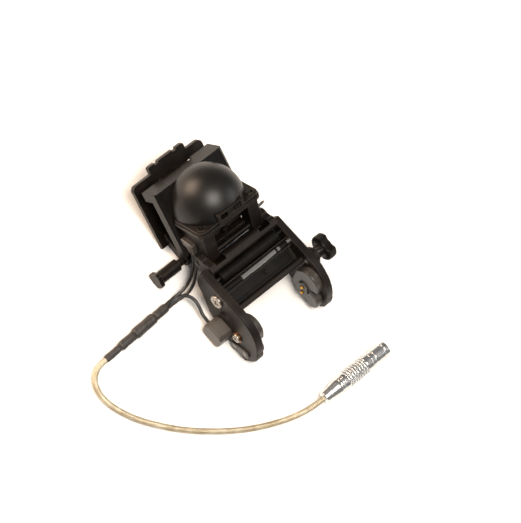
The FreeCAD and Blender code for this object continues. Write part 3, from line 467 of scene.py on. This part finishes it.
@dataclass
class Wires:
    """The three thin wires between the mount and the splice."""

    diameter_mm: float = 1.9
    wave_mm: float = 0.03            # how far the soft jacket is from round
    step_mm: float = 0.35            # between the rings of the jacket
    back_mm: float = 37.3            # the three wires' real lengths
    front_mm: float = 39.2
    sensor_mm: float = 31.2

    def jacket(self, turn: np.ndarray, length: np.ndarray) -> np.ndarray:
        """The radius: half the diameter, with two slow waves along it."""
        wave = np.sin(length / (2.9 * MM) + TURN * turn) + np.sin(length / (4.7 * MM) - TURN * 2 * turn)
        return (self.diameter_mm / 2 + self.wave_mm * (wave / 2 - 1)) * MM

    def wire(self, name: str, route: Route, length_mm: float, exit_end: int) -> bpy.types.Object:
        """One wire, which stands for the node of the same name.

        Args:
            name: the node's name.
            route: its route.
            length_mm: its real length; not used.
            exit_end: the route's point where it leaves the mount, 0 or -1; not used.

        Returns:
            The wire's piece.
        """
        path = resampled(smooth_line(name, route.metres()), self.step_mm * MM)
        rings, along = carried(path, 20, self.jacket)
        piece = surface(name + "_jacket", rings, JACKET, along)
        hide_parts(name)
        return piece

    def build(self) -> None:
        """Make the two feed wires and the sensor's wire."""
        for name, route, length_mm in (("wire_back", Route.WIRE_BACK, self.back_mm),
                                       ("wire_front", Route.WIRE_FRONT, self.front_mm)):
            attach(self.wire(name, route, length_mm, 0), "carriage")
        sensor = self.wire("sensor_wire", Route.SENSOR, self.sensor_mm, -1)
        near, far = Route.SENSOR.metres()[[0, -1]]
        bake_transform(sensor)
        LOG.info("three wires")


@dataclass
class Splice:
    """The heat-shrunk sleeves where the wires join the lead, each drawn down over the next."""

    wrinkle_mm: float = 0.12
    shoulder_mm: float = 1.2
    lip_share: float = 0.82          # the radius at a sleeve's lips, as a share of its full one
    step_mm: float = 0.18

    def sleeve(self, name: str, start: float, end: float, radius_mm: float, phase: float
               ) -> bpy.types.Object:
        """One sleeve, from one share of the splice's line to another.

        Its radius falls to lip_share at both lips, over shoulder_mm, and carries a sum of three waves that
        run round and along it.
        """
        head, tail = Route.SENSOR.metres()[0].copy(), Route.LEAD.metres()[0]
        head[2] = tail[2]              # the splice lies level, below the sensor's wire
        ends = np.stack([head + (tail - head) * share for share in (start, end)])
        path = resampled(ends, self.step_mm * MM)
        whole = float(np.linalg.norm(tail - head)) * (end - start)
        lip, deep = self.shoulder_mm * MM, self.wrinkle_mm

        def radius(turn: np.ndarray, length: np.ndarray) -> np.ndarray:
            fall = soft_step(length, 0.0, lip) * soft_step(whole - length, 0.0, lip)
            waves = (np.sin(TURN * 2 * turn + length / (2.1 * MM) + phase)
                     + 0.7 * np.sin(TURN * 3 * turn - length / (1.3 * MM) + 2 * phase)
                     + 0.5 * np.sin(length / (0.55 * MM) + 3 * np.sin(TURN * turn + phase)))
            drawn = self.lip_share + (1 - self.lip_share) * fall
            return (radius_mm * drawn + deep * fall * (waves / 2.2 - 1)) * MM

        rings, along = carried(path, 56, radius)
        piece = surface(name + "_sleeve", rings, SHRINK, along)
        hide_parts(name)
        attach(piece, "carriage")
        return piece

    def build(self) -> list[bpy.types.Object]:
        """Make the four sleeves in order from the mount."""
        made = [self.sleeve("splice_mouth", 0.0, 0.2, 2.6, 0.4),
                self.sleeve("splice_body", 0.2, 0.53, 3.1, 1.7),
                self.sleeve("splice_waist", 0.53, 0.76, 2.6, 2.9),
                self.sleeve("splice_tail", 0.76, 1.0, 2.1, 4.2)]
        LOG.info("splice of %d sleeves", len(made))
        return made


@dataclass
class Plug:
    """The round push-pull plug: collet nut, ringed and fluted grip, and plain nose."""

    radius_mm: float = 4.75
    flutes: int = 40
    ring_pitch_mm: float = 1.7
    rings: int = 8
    rings_start_mm: float = 2.4      # from the grip's rear face
    grip_mm: float = 20.0
    ring_deep_mm: float = 0.42
    flute_deep_mm: float = 0.2
    groove_deep_mm: float = 0.22     # of the nut's and the nose's grooves
    tail_mm: float = 3.3             # the nut's radius at its rear
    taper_mm: float = 10.0           # how far along the nut is tapered
    flat_mm: float = 3.4             # from the axis to a spanner flat
    step_down_mm: float = 0.15       # the nut's front is this much smaller in radius than the grip
    nose_down_mm: float = 0.2        # and the nose this much
    bore_down_mm: float = 0.9        # and the nose's bore this much
    socket_mm: float = 6.5           # from the nose's rear face to the insert's face
    nose_around: int = 72

    def line(self, node: str, step_mm: float) -> np.ndarray:
        """Points along a node's axis, from its rear face to its front one."""
        low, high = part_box(node)
        lead_y, lead_z = Route.LEAD.metres()[-1][1:]
        return resampled(np.array([[low[0], lead_y, lead_z], [high[0], lead_y, lead_z]]), step_mm * MM)

    def grip_radius(self, turn: np.ndarray, length: np.ndarray) -> np.ndarray:
        """The grip: ring grooves at an even pitch, with flutes cut across the rings between them.

        A groove is where a cosine of the pitch is near 1, and a flute is a cosine round the grip.
        """
        at = length / MM - self.rings_start_mm
        span = self.rings * self.ring_pitch_mm
        inside = soft_step(at, -0.5, 0.0) * soft_step(span - at, -0.2, 0.3)
        groove = soft_step(np.cos(TURN * at / self.ring_pitch_mm), 0.45, 0.9) * inside
        flute = soft_step(np.cos(TURN * self.flutes * turn), 0.1, 0.9) * inside * (1 - groove)
        ends = soft_step(length / MM, 0.0, 0.35) * soft_step(self.grip_mm - length / MM, 0.0, 0.35)
        cuts = self.ring_deep_mm * groove + self.flute_deep_mm * flute
        return (self.radius_mm - 0.3 * (1 - ends) - cuts) * MM

    def nut_radius(self, turn: np.ndarray, length: np.ndarray) -> np.ndarray:
        """The collet nut: a straight taper, two spanner flats, a step and a rounded rear lip.

        A flat holds the radius down to its distance from the axis over the cosine of the turn from it.
        """
        at = length / MM
        front = self.radius_mm - self.step_down_mm
        taper = self.tail_mm + (front - self.tail_mm) * np.clip(at / self.taper_mm, 0.0, 1.0)
        lip = 0.5 * (1 - soft_step(at, 0.0, 0.6))
        ring = self.groove_deep_mm * (soft_step(at, 10.9, 11.1) * soft_step(11.7 - at, 0.0, 0.2)
                                      + soft_step(at, 12.5, 12.7) * soft_step(13.3 - at, 0.0, 0.2))
        flat = self.flat_mm / np.maximum(np.abs(np.cos(TURN * turn)), 0.05)
        cut = soft_step(at, 1.9, 2.1) * soft_step(6.7 - at, 0.0, 0.2)
        body = taper - lip - ring
        return (body + (np.minimum(body, flat) - body) * cut) * MM

    def nose_rings(self) -> tuple[np.ndarray, np.ndarray]:
        """The nose: out along its wall, round its lip, and back in to the insert's face.

        The outside has two latch grooves; the way in is the bore, so the piece is one closed skin.
        """
        low, high = (corner[0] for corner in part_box("plug_nose"))
        outer, bore = self.radius_mm - self.nose_down_mm, self.radius_mm - self.bore_down_mm
        length = (high - low) / MM
        out_at = np.linspace(0.0, length, 120)
        groove = self.groove_deep_mm * (soft_step(out_at, 2.0, 2.2) * soft_step(2.9 - out_at, 0.0, 0.2)
                                        + soft_step(out_at, 8.6, 8.8) * soft_step(9.6 - out_at, 0.0, 0.2))
        nose = 0.35 * soft_step(out_at, length - 0.5, length)
        at = np.concatenate([out_at, np.linspace(length, self.socket_mm, 40), [self.socket_mm]])
        reach = np.concatenate([outer - groove - nose, np.full(40, bore), [0.02]])
        lead_y, lead_z = Route.LEAD.metres()[-1][1:]
        turn = np.arange(self.nose_around) / self.nose_around * TURN
        x = low + np.repeat(at[:, None], self.nose_around, axis=1) * MM
        y = lead_y + reach[:, None] * np.cos(turn) * MM
        z = lead_z + reach[:, None] * np.sin(turn) * MM
        return np.stack([x, y, z], axis=-1), at * MM

    def build(self) -> list[bpy.types.Object]:
        """Make the three metal pieces, which ride with the lead."""
        grip, grip_at = carried(self.line("plug_grip", 0.14), 240, self.grip_radius)
        nut, nut_at = carried(self.line("plug_nut", 0.1), 96, self.nut_radius)
        nose, nose_at = self.nose_rings()
        made = []
        for node, rings, along in (("plug_nut", nut, nut_at), ("plug_grip", grip, grip_at),
                                   ("plug_nose", nose, nose_at)):
            piece = surface(node + "_turned", rings, CHROME, along)
            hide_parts(node)
            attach(piece, "carriage")
            made.append(piece)
        LOG.info("plug of %d turned pieces", len(made))
        return made


@dataclass
class Lead:
    """The braided lead from the splice to the plug."""

    diameter_mm: float = 3.3
    relief_mm: float = 0.16
    length_mm: float = 149.0

    def weave(self, turn: np.ndarray, length: np.ndarray) -> np.ndarray:
        """The braid's radius: each bundle is an arch across its width that dips where it goes under another.

        The bundles are counted as the finish counts them, and the one on top gives the height.
        """
        climb = length / (TINNED.pitch_mm * MM)
        rising, falling = TINNED.carriers * (turn + climb), TINNED.carriers * (turn - climb)
        odd = np.mod(np.floor(rising) + np.floor(falling), 2) > 0.5
        arch = [np.sin(math.pi * np.mod(count, 1.0)) for count in (rising, falling)]
        height = np.where(odd, np.sqrt(arch[0]) * (0.5 + 0.5 * arch[1]),
                          np.sqrt(arch[1]) * (0.5 + 0.5 * arch[0]))
        return (self.diameter_mm / 2 - self.relief_mm * (1 - height)) * MM

    def build(self, with_pieces: list[object]) -> bpy.types.Object:
        """Args:
            with_pieces: the pieces of the splice and the plug; not used.

        Returns:
            The braid.
        """
        path = resampled(smooth_line("lead", Route.LEAD.metres()), 0.2 * MM)
        rings, along = carried(path, 56, self.weave)
        piece = surface("lead_braid", rings, TINNED, along)
        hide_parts("braided_lead")
        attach(piece, "carriage")
        tuple(Route.LEAD.metres()[0])
        LOG.info("braided lead")
        return piece


# ---- small sprung and gripped pieces ------------------------------------------------------------------
@dataclass
class Spring:
    """A coil spring with closed ends that fills a plain sleeve of the frame."""

    wire_mm: float
    coils: float

    def coil(self, centre: np.ndarray, radius: float, low: float, high: float) -> np.ndarray:
        """The coil's centreline along X.

        It turns evenly while it advances from low to high, slower at both ends so that the end coils lie
        closer together.

        Args:
            centre: any point on the axis, in metres.
            radius: the coil's mean radius in metres.
            low: X of the coil's first end.
            high: X of its other end.

        Returns:
            Points in metres.
        """
        share = np.linspace(0.0, 1.0, round(self.coils * 40))
        eased = soft_step(share, 0.0, 1.0) * 0.35 + share * 0.65
        angle = TURN * self.coils * share
        return np.stack([low + (high - low) * eased, centre[1] + radius * np.cos(angle),
                         centre[2] + radius * np.sin(angle)], axis=-1)

    def fill(self, name: str, centre: np.ndarray, outer: float, low: float, high: float) -> bpy.types.Object:
        """Make the spring between two X values, inside an outer radius."""
        half = self.wire_mm * MM / 2
        path = self.coil(centre, outer - half, low + half, high - half)
        rings, along = carried(path, 12, lambda turn, length: np.full(turn.shape, half), up=(1.0, 0.0, 0.0))
        piece = surface(name, rings, SPRING_WIRE, along)
        return piece


def plunger_springs() -> None:
    """The two springs behind the sprung plungers, one each side."""
    low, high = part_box("plunger_springs")
    centre, outer = (low + high) / 2, (high - low)[2] / 2
    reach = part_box("left_plunger")[0][0]
    gap = 0.3 * MM
    spring = Spring(wire_mm=0.35, coils=3.0)
    inner = min(abs(reach) + 1.6 * MM, high[0] - 0.8 * MM)
    right = spring.fill("right_plunger_spring", np.array(centre), outer, inner, high[0] - gap / 3)
    left = spring.fill("left_plunger_spring", np.array(centre), outer, -high[0] + gap / 3, -inner)
    for piece in (left, right):
        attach(piece, "fork")
    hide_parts("plunger_springs")
    LOG.info("plunger springs")


@dataclass
class RodShadeSleeves:
    """Dark sleeves over the ends of the polished rod: painted shade, which hides the rod's highlight at the
    dark ends of the deck's slot and leaves its middle bright.

    The right-hand pair leaves a short bright stretch between.
    """

    over_mm: float = 0.12            # how far a shade sleeve stands out of the rod
    lip_mm: float = 0.3              # how long its rounded lips are
    lip_fall_mm: float = 0.2         # how far they fall
    step_mm: float = 0.1
    left_gap_mm: float = 1.8         # from the rod's left end to the first shade sleeve
    left_end_mm: float = -11.0
    right_mm: tuple[tuple[float, float], ...] = ((13.0, 14.6), (16.0, 21.6))

    def shade_sleeve(self, name: str, centre: np.ndarray, rod: float, start: float, end: float) -> None:
        """One shade sleeve: a dark tube about the rod, painted shade, that falls at both lips.

        Args:
            name: the piece's name.
            centre: the rod's middle, in metres.
            rod: the rod's radius in mm.
            start: X of the shade sleeve's first end in mm.
            end: X of its other end in mm.
        """
        y, z = centre[1:] / MM
        path = resampled(np.array([[start, y, z], [end, y, z]]) * MM, self.step_mm * MM)

        def radius(turn: np.ndarray, length: np.ndarray) -> np.ndarray:
            at = length / MM
            full = soft_step(at, 0.0, self.lip_mm) * soft_step(end - start - at, 0.0, self.lip_mm)
            return (rod + self.over_mm - self.lip_fall_mm * (1 - full)) * MM

        rings, along = carried(path, 40, radius)
        # The dark nylon here is painted shade over the rod's ends, not a real part.
        piece = surface(name, rings, NYLON, along)
        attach(piece, "fork")

    def build(self) -> None:
        """Make the shade sleeves, painted shade over the rod's ends, from left to right."""
        low, high = (np.array(corner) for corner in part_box("steel_rod"))
        rod = (high[2] - low[2]) / 2 / MM
        left = (low[0] / MM + self.left_gap_mm, self.left_end_mm)
        for number, (start, end) in enumerate((left, *self.right_mm), start=1):
            self.shade_sleeve(f"rod_shade_sleeve_{number}", (low + high) / 2, rod, start, end)
        # The rod collars in the log are these sleeves of painted shade.
        LOG.info("rod collars")


def release_spring() -> None:
    """The spring that pushes the release bar home."""
    low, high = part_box("release_spring")
    centre = (np.array(low) + np.array(high)) / 2
    outer = (high[2] - low[2]) / 2
    piece = Spring(wire_mm=0.45, coils=6.0).fill("release_coil", centre, outer, low[0], high[0])
    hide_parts("release_spring")
    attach(piece, "base")
    LOG.info("release spring")


@dataclass
class Knob:
    """The two-lobed clamp knob: serrated lobes, a dished face and a ribbed boss in its middle."""

    lobe_mm: float = 7.5
    thick_mm: float = 5.2
    scallop_mm: float = 6.4
    scallop_out_mm: float = 10.9
    round_mm: float = 1.1
    serrations: int = 44
    around: int = 352                # points round the rim
    blend_mm: float = 0.28           # how softly a lobe runs into a scallop
    ribs_mm: tuple[float, ...] = (-1.9, -0.65, 0.6, 1.85)    # their places across the sunk face
    rib_mm: float = 0.4              # their radius
    rib_deep_mm: float = 0.85        # from the knob's face to their middle line
    face_mm: float = 3.3             # the sunk face's radius, which the ribs stay within

    def outline(self, turn: np.ndarray) -> np.ndarray:
        """The rim's radius in mm at each turn.

        It is the smooth lesser of the lobes' circle and the two scallops' near sides, with fine serrations
        where the lobes are full.
        """
        angle = TURN * turn
        away = np.abs(np.sin(angle))
        inside = np.clip(self.scallop_mm ** 2 - (self.scallop_out_mm * np.cos(angle)) ** 2, 0.0, None)
        near = np.where(inside > 0, self.scallop_out_mm * away - np.sqrt(inside), 12.0)
        soft = self.blend_mm
        lesser = -np.log(np.exp(-near / soft) + np.exp(-self.lobe_mm / soft)) * soft
        full = soft_step(lesser, self.lobe_mm - 0.7, self.lobe_mm - 0.1)
        return lesser - 0.1 - 0.16 * full * (1 + np.cos(self.serrations * angle)) / 2

    def build(self) -> None:
        """Make the knob about its stem's axis, from its neck to its ribbed face."""
        low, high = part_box("thumb_knob")
        stem_low, stem_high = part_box("knob_stem")
        axis = (np.array(stem_low) + np.array(stem_high)) / 2
        start, end = low[0] / MM, high[0] / MM
        wheel = end - self.thick_mm
        bend = np.linspace(0.0, math.pi / 2, 9)
        turned_in = self.round_mm * (1 - np.cos(bend))
        # Steps along the profile: X in mm, the radius taken off the outline, or the radius given outright.
        x = np.concatenate([[start, start + 0.2, wheel - 0.1], wheel + turned_in, end - turned_in[::-1],
                            [end - 0.1, end - 0.45, end - 1.2, end - 1.2]])
        less = np.concatenate([np.zeros(3), self.round_mm * (1 - np.sin(bend)),
                               self.round_mm * (1 - np.sin(bend[::-1])), np.zeros(4)])
        plain = np.concatenate([[3.2, 3.4, 3.4], np.zeros(18), [4.3, 3.8, 3.6, 0.05]])
        turn = np.arange(self.around) / self.around
        rim = self.outline(turn)
        reach = np.where(plain[:, None] > 0, plain[:, None], rim[None] - less[:, None])
        spread = np.stack([np.repeat(x[:, None] * MM, len(turn), axis=1),
                           axis[1] + reach * np.cos(TURN * turn) * MM,
                           axis[2] + reach * np.sin(TURN * turn) * MM], axis=-1)
        piece = surface("knob_wheel", spread, NYLON, x * MM)
        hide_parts("thumb_knob")
        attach(piece, "knob")
        for number, aside in enumerate(self.ribs_mm, start=1):
            rib = self.rib(f"knob_rib_{number}", axis, end, aside)
            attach(rib, "knob")
        LOG.info("knob and its ribs")

    def rib(self, name: str, axis: np.ndarray, end: float, aside: float) -> bpy.types.Object:
        """One rounded rib on the knob's sunk face: a tube whose ends close in to a point.

        Args:
            name: the piece's name.
            axis: a point on the knob's axis, in metres.
            end: X of the knob's outer face in mm.
            aside: how far the rib is from the axis in mm.

        Returns:
            The rib.
        """
        half = math.sqrt(self.face_mm ** 2 - aside ** 2) - 0.2
        share = np.linspace(-1.0, 1.0, 25)
        path = np.stack([np.full(25, (end - self.rib_deep_mm) * MM), np.full(25, axis[1] + aside * MM),
                         axis[2] + share * half * MM], axis=-1)

        def radius(turn: np.ndarray, length: np.ndarray) -> np.ndarray:
            closing = np.sqrt(np.clip(1 - ((length / MM - half) / half) ** 8, 0.0002, 1.0))
            return self.rib_mm * closing * MM

        rings, along = carried(path, 16, radius, up=(1.0, 0.0, 0.0))
        return surface(name, rings, NYLON, along)


# ---- floor, lights and camera -------------------------------------------------------------------------
@dataclass
class Studio:
    """A pale floor, soft light and the camera."""

    lens_mm: float = 207.0
    distance: float = 1.564
    aside_mm: float = 27.7           # how far the view's middle is right of the dome's centre
    below_mm: float = 31.9           # and how far below it
    floor_half: float = 3.0
    surround: float = 0.22           # the strength of the even light from all round

    def axes(self) -> tuple[Vector, Vector, Vector]:
        """The view's right and up, and the way back to the camera, square to each other."""
        back = Vector((-0.404, -0.055, 0.913)).normalized()
        right = Vector((0.717, -0.634, 0.281))
        right = (right - back * right.dot(back)).normalized()
        return right, back.cross(right), back

    def camera(self) -> None:
        """Stand the camera high on the left and roll it as far as the view needs."""
        right, up, back = self.axes()
        aim = DOME_CENTRE + right * self.aside_mm * MM - up * self.below_mm * MM
        data = bpy.data.cameras.new("view")
        data.lens = self.lens_mm
        data.sensor_width = 36.0
        data.clip_start, data.clip_end = 0.01, 20.0
        camera = bpy.data.objects.new("view", data)
        turn = Matrix((right, up, back)).transposed().to_4x4()
        camera.matrix_world = Matrix.Translation(aim + back * self.distance) @ turn
        bpy.context.scene.collection.objects.link(camera)
        bpy.context.scene.camera = camera

    def lamp(self, name: str, towards: tuple[float, float, float], far: float, size: float, power: float,
             colour: str = "#ffffff") -> None:
        """One square soft box that faces the mount from a direction in the world."""
        data = bpy.data.lights.new(name, "AREA")
        data.shape, data.size, data.energy = "SQUARE", size, power
        data.color = linear(colour)[:3]
        lamp = bpy.data.objects.new(name, data)
        away = Vector(towards).normalized()
        lamp.location = DOME_CENTRE + away * far
        lamp.rotation_euler = away.to_track_quat("Z", "Y").to_euler()
        bpy.context.scene.collection.objects.link(lamp)

    def floor(self) -> None:
        """A pale matt floor, with a faint mottle."""
        size = self.floor_half
        mesh = bpy.data.meshes.new("floor")
        corners = [(-size, -size, 0), (size, -size, 0), (size, size, 0), (-size, size, 0)]
        mesh.from_pydata(corners, [], [(0, 1, 2, 3)])
        floor = bpy.data.objects.new("floor", mesh)
        paper = Finish("white_paper", "#f6f5f3", "#f1f0ee", 0.85, tone_mm=60, grain_mm=2.0,
                       grain_height_mm=0.01)
        mesh.materials.append(paper.material())
        bpy.context.scene.collection.objects.link(floor)

    def build(self) -> None:
        """Make the floor, the world's light, three soft boxes and the camera."""
        self.floor()
        self.camera()
        world = bpy.data.worlds.new("studio")
        world.use_nodes = True
        shade = world.node_tree.nodes["Background"]
        shade.inputs["Color"].default_value = linear("#ffffff")
        shade.inputs["Strength"].default_value = self.surround
        bpy.context.scene.world = world
        self.lamp("key", (-0.36, 0.85, 0.4), 0.7, 0.42, 7.0, "#ffe2c8")
        self.lamp("over", (-0.12, -0.2, 0.97), 0.9, 0.5, 11.5, "#fff6ec")
        self.lamp("fill", (0.75, -0.5, 0.5), 1.0, 0.5, 2.5)
        view = bpy.context.scene.view_settings
        view.view_transform, view.look, view.exposure = "Standard", "None", 0.0
        LOG.info("studio")


def main() -> None:
    """Build the pieces in order and say what was made."""
    logging.basicConfig(level=logging.INFO, format="%(message)s")
    Studio().build()
    Wires().build()
    sleeves = Splice().build()
    plug = Plug().build()
    inner = [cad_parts[name] for name in ("plug_insert", "plug_pins")]
    Lead().build(sleeves + plug + inner)
    Knob().build()
    plunger_springs()
    release_spring()
    RodShadeSleeves().build()
    dress_nodes()


if __name__ == "__main__":
    main()
